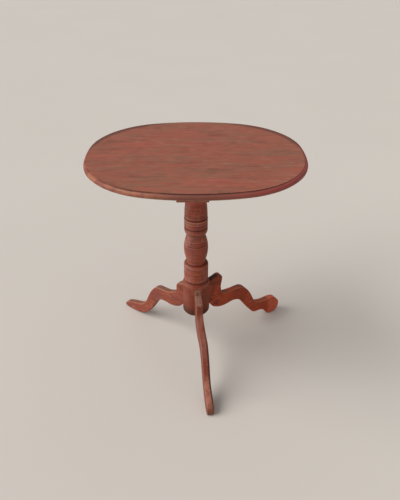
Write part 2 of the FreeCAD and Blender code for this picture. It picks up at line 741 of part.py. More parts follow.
def make_legs():
    """Three legs sawn alike. The right one is whole; the others have lost the ear's tip and the knob."""
    front = leg_runs(
        size.front_instep_reach, ZERO, BROKEN_EAR_SHARES,
        size.front_toe_length, size.front_toe_height, SHORT_SOLE_SHARES, SHORT_CROWN_SHARES,
    )
    left = leg_runs(
        size.left_instep_reach, ZERO, BROKEN_EAR_SHARES,
        size.left_toe_length, size.left_toe_height, WORN_SOLE_SHARES, WORN_CROWN_SHARES,
    )
    right = leg_runs(
        size.right_instep_reach, size.right_instep_lift, WHOLE_EAR_SHARES,
        size.right_toe_length, size.right_toe_height, KNOB_SOLE_SHARES, KNOB_CROWN_SHARES,
    )
    return [
        make_leg("leg_front", size.front_angle, front),
        make_leg("leg_left", size.left_angle, left),
        make_leg("leg_right", size.right_angle, right),
    ]


def check_document():
    for item in doc.Objects:
        if "Invalid" in item.State or "Error" in item.State:
            raise RuntimeError(f"{item.Label} failed: {item.State}")


def write_piece(piece):
    """Write one piece, after making sure that it is sound."""
    shape = piece.Shape
    if shape.isNull() or not shape.isValid() or not shape.Solids:
        raise RuntimeError(f"{piece.Label} has no sound shape")
    shape.exportStep(f"parts/{piece.Label}.step")
    print(f"{piece.Label}: {len(shape.Solids)} solids, {shape.Volume:.0f} mm3")


def main():
    screws, screw_bores = make_screws()
    dowels = doc.addObject("Part::Compound", "edge_dowels")
    dowels.Label = "edge_dowels"
    dowels.Links = make_dowels("dowel", ZERO)
    pieces = make_boards(make_dowels("dowel_bore", size.fit_clearance), screw_bores)
    pieces += [dowels, make_bearer(screw_bores), screws]
    pieces += make_column((size.front_angle, size.left_angle, size.right_angle))
    pieces += make_legs()
    doc.recompute()
    check_document()
    os.makedirs("parts", exist_ok=True)
    for piece in pieces:
        write_piece(piece)


main()
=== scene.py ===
import math
from types import SimpleNamespace
from typing import NamedTuple

import bpy
from bpy.props import FloatProperty, FloatVectorProperty, PointerProperty
from bpy.types import NodeSocket, Operator, Panel, PropertyGroup
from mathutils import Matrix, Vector


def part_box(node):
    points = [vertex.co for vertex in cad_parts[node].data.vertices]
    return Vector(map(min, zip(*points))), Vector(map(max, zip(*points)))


bl_info = {
    "name": "Wine table finish",
    "version": (1, 0, 0),
    "blender": (4, 5, 0),
    "location": "View3D > Sidebar > Wine table",
    "description": "Old red-brown paint, bare wood, screws and a studio for a small oval table",
    "category": "Material",
}

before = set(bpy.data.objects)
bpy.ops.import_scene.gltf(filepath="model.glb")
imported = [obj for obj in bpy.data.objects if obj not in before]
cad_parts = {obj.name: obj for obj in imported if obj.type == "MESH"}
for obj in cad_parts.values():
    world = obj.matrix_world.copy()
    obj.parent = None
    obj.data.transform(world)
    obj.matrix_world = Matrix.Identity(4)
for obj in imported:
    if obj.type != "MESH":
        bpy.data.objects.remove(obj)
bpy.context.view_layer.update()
MM_PER_M = 1000.0
X, Y, Z = range(3)

# Sizes of the turned and moulded parts that the paint follows, in metres.
RIM_DEPTH = 0.0015
HUB_HEIGHT = 0.122
GROOVE_HEIGHT = 0.009
COLLAR_HEIGHT = 0.061
# These four are counted from the top of the collar.
BULB_LINE_RISE = 0.073
NECK_RISE = 0.104
RING_LINE_RISE = 0.130
RING_TOP_RISE = 0.162

# Heights above the floor, in metres.
TOP_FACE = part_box("top_board_middle")[1].z
RIM_SHOULDER = TOP_FACE - RIM_DEPTH
HUB_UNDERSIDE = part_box("column")[0].z
HUB_SHOULDER = HUB_UNDERSIDE + HUB_HEIGHT
COLLAR_FOOT = HUB_SHOULDER + GROOVE_HEIGHT
COLLAR_TOP = COLLAR_FOOT + COLLAR_HEIGHT
BULB_LINE = COLLAR_TOP + BULB_LINE_RISE
NECK = COLLAR_TOP + NECK_RISE
RING_LINE = COLLAR_TOP + RING_LINE_RISE
RING_TOP = COLLAR_TOP + RING_TOP_RISE

# This scales the oval of the top to a circle of radius 1.
OVAL_SCALE = (1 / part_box("top_board_middle")[1].x, 1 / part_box("top_board_rear")[1].y, 0.0)


class Fade(NamedTuple):
    """How a mask fades in: black where a value is at start, and its strength at full.

    Start may be the larger.
    """

    start: float
    full: float
    strength: float = 1.0


class Marks(NamedTuple):
    """Soft marks, about size millimetres along X, Y and Z, and how they fade in with their noise."""

    size: tuple
    fade: Fade
    detail: float = 4.0
    seed: float = 0.0


class Strip(NamedTuple):
    """A strip that starts and ends so far past a line, in metres, with soft edges."""

    line: float
    start: float
    end: float
    edge: float


class Leg(NamedTuple):
    """How one leg stands and has worn.

    Its angle is in degrees from +X. Its reach, its toe and the end of its ear are in metres. Cover, wear and
    darkening run from 0 to 1.
    """

    angle: float
    reach: float
    toe_length: float
    ear_end: Fade
    ear_cover: float
    edge_wear: float
    hub_darkening: float


class Lamp(NamedTuple):
    """A broad lamp: the direction it shines from, and its breadth in degrees."""

    source: tuple
    breadth: float


def past(line, start, full, strength=1.0):
    """A fade that is counted from a line."""
    return Fade(line + start, line + full, strength)


# Noise is moved so far along X, Y and Z for each step of its seed.
SEED_STEPS = (1.0, 1.7, 0.6)
NOISE_ROUGHNESS = 0.56
# The three boards' own marks are seeded this far apart, and the streaks of the base share one seed.
BOARD_SEED = 10.0
STREAK_SEED = 5.0
# How far the normal turns beside a sharp edge, as a cosine, and how much of the sky a corner sees where
# dirt and painted shade are laid.
EDGE_TURN = (0.995, 0.86)
DIRT_AND_SHADE_SKY = (0.62, 0.28)
# Roughness of old oil paint where it is kept and where it is rubbed through.
KEPT_ROUGHNESS = 0.55
RUBBED_ROUGHNESS = 0.75


def linear(code):
    """Linear RGBA of an sRGB hex colour, by the standard's own formula."""
    shares = [int(code[at:at + 2], 16) / 255 for at in (0, 2, 4)]
    return (*(s / 12.92 if s <= 0.04045 else ((s + 0.055) / 1.055) ** 2.4 for s in shares), 1.0)


def colour(name, description, code):
    """A colour that the user can change."""
    return FloatVectorProperty(
        name=name, description=description, subtype="COLOR", size=4, min=0.0, max=1.0, default=linear(code)
    )


def length(name, description, metres):
    """A length that the user can change."""
    return FloatProperty(
        name=name, description=description, subtype="DISTANCE", unit="LENGTH", min=0.0001, default=metres
    )


def brightness(name, description, strength):
    """A light's strength that the user can change."""
    return FloatProperty(name=name, description=description, min=0.0, default=strength)


class TopPaint(PropertyGroup):
    """Colours and sizes of the paint on the oval top."""

    red: colour("Red-brown", "Main coat of the top", "93543F")
    brown: colour("Brown", "Patches where the coat has faded to brown", "875842")
    bright: colour("Bright red", "Patches where the coat has kept its red", "A04F3D")
    streak: colour("Dark streak", "Brush marks and grain filled with dirt", "6A3A2C")
    rubbed: colour("Rubbed", "Streaks polished pale by use", "B07761")
    olive: colour("Olive", "Places worn through to an older coat", "7A5A42")
    rim: colour("Rim", "Moulded edge", "834535")
    rim_bright: colour("Bright rim", "Moulded edge where it has kept its red", "95423A")
    rim_worn: colour("Worn rim", "Moulded edge worn to ochre", "9E6147")
    # Dirt, and painted shade in the quirk, beside it and along the back of the rim; also the colour of dirt
    # specks.
    quirk_dirt_and_shade: colour("Quirk", "Dirt in the line inside the moulded edge", "44271E")
    pine: colour("Bare pine", "Unpainted underside", "9A7853")
    pine_dark: colour("Dark pine", "Late growth and stains of the underside", "73543A")
    streak_length: length("Streak length", "Brush marks along the boards", 0.23)
    streak_width: length("Streak width", "Brush marks across the boards", 0.0034)


class BasePaint(PropertyGroup):
    """Colours and sizes of the paint on the column, the bearer and the legs."""

    column: colour("Column", "Main coat of the column", "964A3A")
    column_orange: colour("Orange-brown", "Patches where the coat is thin", "90452E")
    # Painted light: the top of the shaft is painted this brighter red against the shade of the top.
    shaft: colour("Shaft", "Top of the shaft, where hands seldom reach", "BC5A4E")
    # Painted shade: the column's side away from the window is painted this deeper red. The right leg also
    # uses it for patches.
    kept: colour("Kept red", "Side away from the window, which has kept its colour", "8A3717")
    # Painted sheen: the column's side towards the window is painted this pink.
    faded: colour("Faded", "Side towards the window, bleached to pink", "A67468")
    column_purple: colour("Purple-brown", "Patches where the coat has darkened", "794340")
    hub: colour("Hub", "Darker coat of the hub", "773218")
    left_leg: colour("Left leg", "Main coat of the left leg", "924A37")
    right_leg: colour("Right leg", "Main coat of the right leg", "AE4421")
    front_leg: colour("Front leg", "Main coat of the front leg", "85412F")
    streak: colour("Dark streak", "Grain filled with dirt", "5A2719")
    # This pale colour is rubbed paint; on the column's rounds it is also a painted highlight, and on its neck
    # and the bearer's front end it is painted light.
    rubbed: colour("Rubbed", "Places polished pale by use", "AE715C")
    left_top: colour("Left leg's top", "Worn upper side of the left leg", "7C5C4C")
    right_top: colour("Right leg's top", "Worn upper side of the right leg", "6B4A3E")
    front_top: colour("Front leg's top", "Worn upper side of the front leg", "8A5646")
    ochre: colour("Ochre", "Edges rubbed through to the wood", "B07C5C")
    grey_wood: colour("Grey wood", "Broken faces, bare and weathered", "967A6A")
    toe: colour("Toe", "Ends of the toes, darkened by knocks and floor wash", "7A4A38")
    knob: colour("Knob", "Toe of the whole leg, still red", "D06246")
    dark_wood: colour("Dark wood", "Top of the whole ear, and the soles", "2C1810")
    # Dirt specks, and painted shade in corners, on faces turned down and along the front leg's right edge.
    grime_and_shade: colour("Grime", "Dirt in grooves and corners", "33190F")
    streak_length: length("Streak length", "Grain marks along the wood", 0.11)
    streak_width: length("Streak width", "Grain marks across the wood", 0.0042)


class FixingFinish(PropertyGroup):
    """Colours of the wood and metal that hold the table together."""

    beech: colour("Beech", "Dowels and wedge", "C09A6C")
    beech_fleck: colour("Beech fleck", "Short flecks in the beech", "9C7448")
    steel: colour("Steel", "Screws", "7C7771")
    rust: colour("Rust", "Rust in the slots of the screws", "5B3A26")


class StageSettings(PropertyGroup):
    """Floor, light and camera."""

    floor: colour("Floor", "Plain floor", "CDC5BC")
    floor_size: length("Floor size", "Side of the square floor", 60.0)
    window_light: brightness("Window", "Broad soft light from the left", 3.05)
    ceiling_light: brightness("Ceiling", "Broad soft light from above", 0.42)
    room_light: brightness("Room", "Broad soft light from the front", 0.4)
    sky: brightness("Sky", "Even light from all round", 0.27)
    sky_colour: colour("Sky colour", "Colour of the even light", "F4F6FA")
    camera_place: FloatVectorProperty(
        name="Camera", description="Place of the camera", subtype="TRANSLATION", unit="LENGTH",
        default=(-0.0012, -1.4047, 1.2861),
    )
    camera_turn: FloatVectorProperty(
        name="Camera turn", description="Turn of the camera", subtype="EULER", unit="ROTATION",
        default=(math.radians(57.58), math.radians(-0.128), math.radians(-0.472)),
    )
    lens: FloatProperty(
        name="Lens", description="Focal length on a 36 mm frame", unit="CAMERA", default=38.25
    )


def add(tree, kind, inputs, **settings):
    """Add a node with its settings, and link or set its inputs by name or number."""
    node = tree.nodes.new(kind)
    for name, value in settings.items():
        setattr(node, name, value)
    for name, value in inputs.items():
        if isinstance(value, NodeSocket):
            tree.links.new(value, node.inputs[name])
        else:
            node.inputs[name].default_value = value
    return node


def new_material(name):
    """An empty material, with its node tree and the place and normal of the shaded point."""
    material = bpy.data.materials.new(name)
    material.use_nodes = True
    tree = material.node_tree
    tree.nodes.clear()
    point = add(tree, "ShaderNodeTexCoord", {})
    return material, tree, point.outputs["Object"], point.outputs["Normal"]


def where(tree, *parts):
    """Mask that is white only where all its parts are. A part is a mask, or a value and its fade."""
    product = None
    for part in parts:
        if isinstance(part, tuple):
            value, fade = part
            ramp = add(tree, "ShaderNodeMapRange", {
                "Value": value, "From Min": fade.start, "From Max": fade.full, "To Max": fade.strength,
            }, interpolation_type="SMOOTHSTEP")
            part = ramp.outputs[0]
        if product is None:
            product = part
        else:
            product = add(tree, "ShaderNodeMath", {0: product, 1: part}, operation="MULTIPLY").outputs[0]
    return product


def blots(tree, place, marks):
    """Mask of soft marks, drawn by noise."""
    spread = add(tree, "ShaderNodeMapping", {
        "Vector": place,
        "Location": [step * marks.seed for step in SEED_STEPS],
        "Scale": [MM_PER_M / side for side in marks.size],
    })
    noise = add(tree, "ShaderNodeTexNoise", {
        "Vector": spread.outputs[0], "Scale": 1.0, "Detail": marks.detail, "Roughness": NOISE_ROUGHNESS,
    })
    return where(tree, (noise.outputs["Fac"], marks.fade))


def draw_marks(tree, place, kinds):
    """A mask for each kind of marks, under its name."""
    return SimpleNamespace(**{name: blots(tree, place, marks) for name, marks in kinds.items()})


def streak_size(paint, axis):
    """Size of a paint's streaks in millimetres along X, Y and Z: they are long along one axis."""
    size = [MM_PER_M * paint.streak_width] * 3
    size[axis] = MM_PER_M * paint.streak_length
    return size


def within(value, strip):
    """The two parts of a mask that is white in a strip."""
    start = strip.line + strip.start
    end = strip.line + strip.end
    return (value, past(start, -strip.edge, strip.edge)), (value, past(end, strip.edge, -strip.edge))


def build_up(tree, first, coats):
    """Lay each coat, a mask and a colour, over the ones below it."""
    below = first
    for mask, coat in coats:
        below = add(tree, "ShaderNodeMix", {0: mask, 6: below, 7: coat}, data_type="RGBA").outputs[2]
    return below


def edge_mask(tree, reach, strength):
    """Mask of the strips beside sharp edges, about reach wide, in metres."""
    rounded = add(tree, "ShaderNodeBevel", {"Radius": reach}, samples=8)
    flat = add(tree, "ShaderNodeNewGeometry", {})
    turn = add(tree, "ShaderNodeVectorMath", {
        0: rounded.outputs[0], 1: flat.outputs["Normal"],
    }, operation="DOT_PRODUCT")
    return where(tree, (turn.outputs["Value"], Fade(*EDGE_TURN, strength)))


def dirt_and_shade_mask(tree, reach, strength):
    """Mask of the corners and grooves within reach in metres, where dirt, rust and painted shade are laid."""
    open_sky = add(tree, "ShaderNodeAmbientOcclusion", {"Distance": reach}, samples=12)
    return where(tree, (open_sky.outputs["AO"], Fade(*DIRT_AND_SHADE_SKY, strength)))


def summed(tree, *parts):
    """Sum of height patterns, each with its share."""
    total = None
    for mask, share in parts:
        piece = add(tree, "ShaderNodeMath", {0: mask, 1: share, 2: 0.0}, operation="MULTIPLY_ADD")
        if total is not None:
            tree.links.new(total, piece.inputs[2])
        total = piece.outputs[0]
    return total


def finish_paint(tree, coat, worn, relief, relief_height, sheen=0.2):
    """Close a painted material: old oil paint keeps a low sheen, and is duller where it is rubbed through."""
    dullness = add(tree, "ShaderNodeMapRange", {
        "Value": worn, "To Min": KEPT_ROUGHNESS, "To Max": RUBBED_ROUGHNESS,
    })
    bump = add(tree, "ShaderNodeBump", {"Height": relief, "Distance": relief_height, "Strength": 1.0})
    paint = add(tree, "ShaderNodeBsdfPrincipled", {
        "Base Color": coat,
        "Roughness": dullness.outputs[0],
        "IOR": 1.5,
        "Specular IOR Level": sheen,
        "Normal": bump.outputs[0],
    })
    add(tree, "ShaderNodeOutputMaterial", {"Surface": paint.outputs[0]})


# Marks in the paint of the top.
TOP_MARKS = dict(
    faded=Marks((170, 60, 60), Fade(0.42, 0.60, 0.85), seed=1.0),
    bright=Marks((150, 34, 34), Fade(0.46, 0.66, 0.80), seed=4.0),
    middle=Marks((140, 50, 50), Fade(0.34, 0.60, 0.60), seed=18.0),
    smudges=Marks((75, 40, 40), Fade(0.50, 0.72, 0.60), detail=6.0, seed=19.0),
    broad_dark=Marks((44, 14, 14), Fade(0.46, 0.68, 0.28), detail=8.0, seed=14.0),
    broad_red=Marks((44, 22, 22), Fade(0.46, 0.68, 0.34), detail=8.0, seed=16.0),
    broad_pale=Marks((34, 13, 13), Fade(0.50, 0.70, 0.26), detail=8.0, seed=17.0),
    olive=Marks((70, 14, 14), Fade(0.50, 0.72, 0.46), detail=7.0, seed=7.0),
    scuffs=Marks((26, 5, 5), Fade(0.68, 0.78, 0.50), detail=8.0, seed=9.0),
    specks=Marks((5, 3, 3), Fade(0.70, 0.78, 0.60), detail=3.0, seed=12.0),
    red_rim=Marks((60, 60, 60), Fade(0.36, 0.55), seed=2.0),
    worn_rim=Marks((45, 45, 45), Fade(0.36, 0.56, 0.90), seed=3.0),
    stained_rim=Marks((20, 20, 6), Fade(0.50, 0.72, 0.50), detail=6.0, seed=5.0),
    quirk_dirt_and_shade=Marks((70, 70, 70), Fade(0.22, 0.50, 0.80), seed=8.0),
    stains=Marks((120, 90, 90), Fade(0.50, 0.72, 0.60), seed=21.0),
)
# These differ from board to board. Growth lines of pine are about 4 mm apart.
BOARD_MARKS = dict(
    pale=Marks((170, 2.4, 2.4), Fade(0.54, 0.76, 0.45), seed=2.0),
    growth=Marks((420, 4, 9), Fade(0.42, 0.62, 0.75), detail=3.0, seed=20.0),
)
TOP_STREAKS = Fade(0.46, 0.72, 0.45)
# Where the marks lie: in metres from the axis or the floor, as shares of the way out to the edge, or by how
# far the surface faces down.
TOP_FADES = SimpleNamespace(
    middle_shares=Fade(0.8, 0.2),
    below_face=past(TOP_FACE, -0.0001, -0.0003),
    red_rim=Fade(0.02, 0.2),
    worn_along=Fade(0.02, -0.16),
    worn_across=Fade(0.05, -0.12),
    lip_across=Fade(-0.1, -0.2, 0.6),
    far_rim_shade=Fade(0.0, 0.12, 0.6),
    quirk_left=Fade(-0.28, -0.14),
    quirk_right=Fade(0.29, 0.13),
    quirk_depth=past(RIM_SHOULDER, -0.0008, -0.0001),
    beside_quirk_shares=Fade(0.88, 0.93),
    far_line_shares=Fade(0.95, 0.975, 0.6),
    far_line_across=Fade(0.0, 0.08),
    facing_down=Fade(-0.55, -0.8),
)
# The stained stretch at the middle of the front lip, along X.
LIP_MIDDLE = Strip(line=0.0, start=-0.08, end=0.06, edge=0.05)


def painted_planed_pine(paint, seed):
    """Old oil paint brushed along planed pine boards, bare underneath.

    It gives the eye a flat satin red-brown with long brush marks, soft smudges and patches faded to brown, a
    dark line of dirt and painted shade inside a brighter rim, painted shade along the back of the rim, and
    yellow-brown wood with its growth lines on the underside.
    """
    material, tree, place, normal = new_material(f"brushed_oil_paint_on_planed_pine_{seed}")
    along, across, height = add(tree, "ShaderNodeSeparateXYZ", {"Vector": place}).outputs
    facing = add(tree, "ShaderNodeSeparateXYZ", {"Vector": normal}).outputs[Z]
    oval = add(tree, "ShaderNodeVectorMath", {0: place, 1: OVAL_SCALE}, operation="MULTIPLY")
    outward = add(tree, "ShaderNodeVectorMath", {0: oval.outputs[0]}, operation="LENGTH").outputs["Value"]
    fades = TOP_FADES
    marks = draw_marks(tree, place, {
        **TOP_MARKS,
        **{name: kind._replace(seed=kind.seed + seed) for name, kind in BOARD_MARKS.items()},
        "streaks": Marks(streak_size(paint, X), TOP_STREAKS, seed=seed),
    })

    # Faded and bright patches are a hand wide, and run along the boards as the sun and the cloth did.
    middle = where(tree, (outward, fades.middle_shares), marks.middle)
    coat = build_up(tree, paint.red, (
        (marks.faded, paint.brown), (marks.bright, paint.bright), (middle, paint.bright),
        (marks.smudges, paint.streak), (marks.broad_dark, paint.streak), (marks.broad_red, paint.bright),
        (marks.broad_pale, paint.rubbed), (marks.streaks, paint.streak), (marks.pale, paint.rubbed),
        (marks.olive, paint.olive), (marks.scuffs, paint.rubbed), (marks.specks, paint.quirk_dirt_and_shade),
    ))

    # The moulded edge lies below the face: red at the right and worn to ochre at the front left. At the back
    # it is painted dark as painted shade.
    below_face = where(tree, (height, fades.below_face))
    red_rim = where(tree, (along, fades.red_rim), marks.red_rim)
    worn_rim = where(tree, (along, fades.worn_along), (across, fades.worn_across), marks.worn_rim)
    lip_middle = where(tree, *within(along, LIP_MIDDLE), (across, fades.lip_across))
    far_rim_shade = where(tree, (across, fades.far_rim_shade))
    edge = build_up(tree, paint.rim, (
        (red_rim, paint.rim_bright), (worn_rim, paint.rim_worn), (lip_middle, paint.streak),
        (far_rim_shade, paint.quirk_dirt_and_shade), (marks.stained_rim, paint.streak),
    ))

    # Dirt and painted shade fill the quirk and spread beside it, less towards the ends. At the back they are
    # one thin line.
    uneven = where(tree, marks.quirk_dirt_and_shade, (along, fades.quirk_left), (along, fades.quirk_right))
    in_quirk = where(tree, (height, fades.quirk_depth), uneven)
    beside_quirk = where(
        tree, edge_mask(tree, reach=0.007, strength=0.6), (outward, fades.beside_quirk_shares), uneven
    )
    far_shade_line = where(tree, (outward, fades.far_line_shares), (across, fades.far_line_across))
    edge = build_up(tree, edge, ((in_quirk, paint.quirk_dirt_and_shade),))
    coat = build_up(tree, coat, ((beside_quirk, paint.quirk_dirt_and_shade), (far_shade_line, paint.quirk_dirt_and_shade)))

    # The bare boards underneath have darkened with age.
    wood = build_up(tree, paint.pine, ((marks.growth, paint.pine_dark), (marks.stains, paint.pine_dark)))
    underneath = where(tree, (facing, fades.facing_down))
    coat = build_up(tree, coat, ((below_face, edge), (underneath, wood)))

    relief = summed(tree, (marks.streaks, 0.5), (marks.pale, 0.4), (marks.olive, -0.4), (marks.scuffs, -0.5))
    finish_paint(tree, coat, marks.olive, relief, relief_height=0.0004, sheen=0.4)
    return material


# Marks in the paint of the column. Rings from the lathe are under a millimetre apart; they are drawn at 4 and
# 5 mm so that they show.
COLUMN_MARKS = dict(
    orange=Marks((55, 55, 80), Fade(0.42, 0.60, 0.85), seed=1.0),
    purple=Marks((40, 40, 60), Fade(0.50, 0.68, 0.80), seed=3.0),
    kept=Marks((60, 60, 40), Fade(0.30, 0.52), seed=12.0),
    faded=Marks((30, 30, 30), Fade(0.36, 0.60), seed=13.0),
    rubbed=Marks((12, 12, 26), Fade(0.54, 0.70, 0.50), detail=6.0, seed=6.0),
    rings=Marks((900, 900, 4), Fade(0.46, 0.62, 0.60), detail=2.0, seed=7.0),
    ring_breaks=Marks((40, 40, 16), Fade(0.36, 0.60), seed=15.0),
    pale_rings=Marks((900, 900, 5), Fade(0.50, 0.64, 0.48), detail=2.0, seed=16.0),
    pale_breaks=Marks((30, 30, 14), Fade(0.36, 0.58), seed=17.0),
    specks=Marks((5, 5, 6), Fade(0.68, 0.76, 0.70), seed=8.0),
    polish=Marks((22, 22, 5), Fade(0.36, 0.62, 0.70), detail=6.0, seed=9.0),
    filled=Marks((30, 30, 12), Fade(0.20, 0.45, 0.80), seed=11.0),
    foot=Marks((26, 26, 30), Fade(0.30, 0.52), seed=14.0),
    scar=Marks((9, 9, 8), Fade(0.34, 0.60, 0.70), detail=6.0, seed=10.0),
)
COLUMN_STREAKS = Fade(0.46, 0.70, 0.32)
# Where the marks lie: in metres above the floor or out from the axis, or by how far the surface faces down.
# The scar is measured in the front leg's direction.
COLUMN_FADES = SimpleNamespace(
    shade_side=Fade(-0.012, 0.03, 0.7),
    sheen_side=Fade(-0.006, -0.03, 0.75),
    over_hub=Fade(HUB_SHOULDER, COLLAR_FOOT),
    upper_shaft_painted_light=past(RING_TOP, 0.015, 0.07, 0.8),
    hub=past(HUB_SHOULDER, 0.019, -0.02, 0.68),
    foot=past(HUB_UNDERSIDE, 0.055, 0.012, 0.75),
    facing_down=Fade(-0.25, -0.8, 0.8),
    scar_out=Fade(0.02, 0.03),
    scar_aside=Fade(0.0125, 0.0095),
    scar_foot=Fade(0.244, 0.249),
    scar_top=Fade(0.272, 0.266),
)
# Strips round the column: thin paint on the bulb, the neck painted pale as painted light against the shade
# of its groove, rounds rubbed and painted pale as highlights, and grooves darkened by dirt and painted shade.
THIN_BULB = Strip(COLLAR_TOP, start=0.004, end=0.061, edge=0.006)
NECK_PAINTED_LIGHT_STRIP = Strip(NECK, start=-0.001, end=0.008, edge=0.002)
RUBBED_AND_HIGHLIGHT_STRIPS = (
    Strip(HUB_SHOULDER, start=-0.010, end=-0.001, edge=0.002),
    Strip(COLLAR_TOP, start=-0.008, end=-0.004, edge=0.0015),
    Strip(RING_TOP, start=-0.006, end=-0.001, edge=0.002),
)
DIRT_AND_SHADE_GROOVES = (
    Strip(HUB_SHOULDER, start=0.002, end=0.008, edge=0.0012),
    Strip(COLLAR_TOP, start=0.0005, end=0.004, edge=0.0012),
    Strip(BULB_LINE, start=-0.001, end=0.001, edge=0.0012),
    Strip(RING_LINE, start=-0.001, end=0.004, edge=0.0012),
    Strip(RING_TOP, start=0.0, end=0.004, edge=0.0012),
)


def painted_turned_pine(paint):
    """Old oil paint on turned pine.

    It gives the eye a satin red-brown that shifts between orange and purple, grain that runs up the column,
    dark and pale rings from the lathe, pale rubbed rounds that are also painted highlights, and dark dirt and
    painted shade in the grooves. Painted light lightens the side towards the window, the top of the shaft and
    the neck, and painted shade darkens the other side and the faces turned down.
    """
    material, tree, place, normal = new_material("brushed_oil_paint_on_turned_pine")
    across, _, height = add(tree, "ShaderNodeSeparateXYZ", {"Vector": place}).outputs
    facing = add(tree, "ShaderNodeSeparateXYZ", {"Vector": normal}).outputs[Z]
    fades = COLUMN_FADES
    marks = draw_marks(tree, place, {
        **COLUMN_MARKS, "streaks": Marks(streak_size(paint, Z), COLUMN_STREAKS, seed=STREAK_SEED),
    })

    # Painted sheen makes the side towards the window pink, and painted shade gives the other side a deeper
    # red.
    kept = where(tree, (across, fades.shade_side), marks.kept)
    faded = where(tree, (across, fades.sheen_side), marks.faded)
    rings = where(tree, marks.rings, marks.ring_breaks)
    pale_rings = where(tree, marks.pale_rings, marks.pale_breaks, (height, fades.over_hub))
    coat = build_up(tree, paint.column, (
        (marks.orange, paint.column_orange), (marks.purple, paint.column_purple), (kept, paint.kept),
        (faded, paint.faded), (marks.streaks, paint.streak), (marks.rubbed, paint.rubbed),
        (rings, paint.streak), (pale_rings, paint.rubbed), (marks.specks, paint.grime_and_shade),
    ))

    # Hands and cloths have rubbed the hub's shoulder, a line on the collar and the ring's top, which are
    # also painted pale as highlights. The top of the shaft is painted brighter and the neck pale, as painted
    # light against the shade of the top and of the neck's groove.
    upper_shaft_painted_light = where(tree, (height, fades.upper_shaft_painted_light), marks.polish)
    thin = where(tree, *within(height, THIN_BULB), marks.polish)
    neck_painted_light = where(tree, *within(height, NECK_PAINTED_LIGHT_STRIP))
    # Rubbed paint and painted highlight: these rounds are painted pale.
    polished = [
        (where(tree, *within(height, strip), marks.polish), paint.rubbed) for strip in RUBBED_AND_HIGHLIGHT_STRIPS
    ]
    coat = build_up(tree, coat, (
        (upper_shaft_painted_light, paint.shaft), (thin, paint.column_orange), *polished, (neck_painted_light, paint.rubbed),
    ))

    # Dirt and painted shade fill the turned grooves and the corners under the hub and beside the legs. Faces
    # turned down are painted dark as painted shade, and the hub is darker towards its bottom.
    deep = where(tree, (height, fades.hub))
    foot = where(tree, (height, fades.foot), marks.foot)
    # Dirt and painted shade darken the grooves and scored lines.
    grooves = [(where(tree, *within(height, strip), marks.filled), paint.streak) for strip in DIRT_AND_SHADE_GROOVES]
    clear_of_neck = add(tree, "ShaderNodeMath", {0: 1.0, 1: neck_painted_light}, operation="SUBTRACT").outputs[0]
    # Dirt and painted shade darken the corners that see little sky, but not the neck.
    dirt = where(tree, dirt_and_shade_mask(tree, reach=0.02, strength=0.75), clear_of_neck)
    # Painted shade: faces turned down are painted dark.
    under = where(tree, (facing, fades.facing_down))
    coat = build_up(tree, coat, (
        (deep, paint.hub), (foot, paint.grime_and_shade), *grooves, (dirt, paint.grime_and_shade), (under, paint.grime_and_shade),
    ))

    # A splinter came off the hub above the front leg's broken ear and left bare grey wood.
    turned = add(tree, "ShaderNodeVectorRotate", {
        "Vector": place, "Angle": math.radians(-LEGS["leg_front"].angle),
    }, rotation_type="Z_AXIS")
    out, side, _ = add(tree, "ShaderNodeSeparateXYZ", {"Vector": turned.outputs[0]}).outputs
    aside = add(tree, "ShaderNodeMath", {0: side}, operation="ABSOLUTE").outputs[0]
    scar = where(
        tree, (out, fades.scar_out), (aside, fades.scar_aside), (height, fades.scar_foot),
        (height, fades.scar_top), marks.scar,
    )
    coat = build_up(tree, coat, ((scar, paint.grey_wood),))

    relief = summed(tree, (marks.streaks, -0.4), (rings, -0.6), (marks.rubbed, 0.3), (scar, -0.6))
    finish_paint(tree, coat, marks.rubbed, relief, relief_height=0.0005, sheen=0.23)
    return material


# The right leg is whole, with a dark ear and the most darkening next to the hub; the others have lost the
# tips of their ears and their knobs.
BROKEN_EAR_END = Fade(0.125, 0.11)
LEGS = {
    "leg_right": Leg(
        angle=33.8, reach=0.371, toe_length=0.06, ear_end=Fade(0.088, 0.076), ear_cover=0.8, edge_wear=0.85,
        hub_darkening=0.65,
    ),
    "leg_left": Leg(
        angle=138.6, reach=0.355, toe_length=0.016, ear_end=BROKEN_EAR_END, ear_cover=0.5, edge_wear=0.85,
        hub_darkening=0.25,
    ),
    "leg_front": Leg(
        angle=-82.3, reach=0.321, toe_length=0.016, ear_end=BROKEN_EAR_END, ear_cover=0.5, edge_wear=0.5,
        hub_darkening=0.25,
    ),
}
LEG_MARKS = dict(
    dull=Marks((70, 45, 45), Fade(0.44, 0.64, 0.55), seed=1.0),
    bright=Marks((55, 35, 35), Fade(0.50, 0.68, 0.50), seed=3.0),
    rubbed=Marks((18, 8, 8), Fade(0.56, 0.70, 0.60), detail=7.0, seed=6.0),
    specks=Marks((6, 4, 4), Fade(0.66, 0.74, 0.70), seed=8.0),
    edges=Marks((26, 9, 9), Fade(0.34, 0.54), detail=7.0, seed=9.0),
    upper=Marks((30, 12, 12), Fade(0.38, 0.58, 0.80), detail=7.0, seed=10.0),
    ear=Marks((14, 7, 7), Fade(0.30, 0.52), detail=6.0, seed=11.0),
    toe=Marks((12, 9, 9), Fade(0.25, 0.50, 0.75), detail=6.0, seed=12.0),
    near_hub=Marks((22, 14, 14), Fade(0.40, 0.60), detail=6.0, seed=13.0),
)
FRONT_LEG_MARKS = dict(
    dark_edge=Marks((40, 9, 9), Fade(0.22, 0.42), seed=14.0),
    low_wear=Marks((24, 8, 8), Fade(0.36, 0.56), detail=7.0, seed=15.0),
)
LEG_STREAKS = Fade(0.44, 0.68, 0.65)
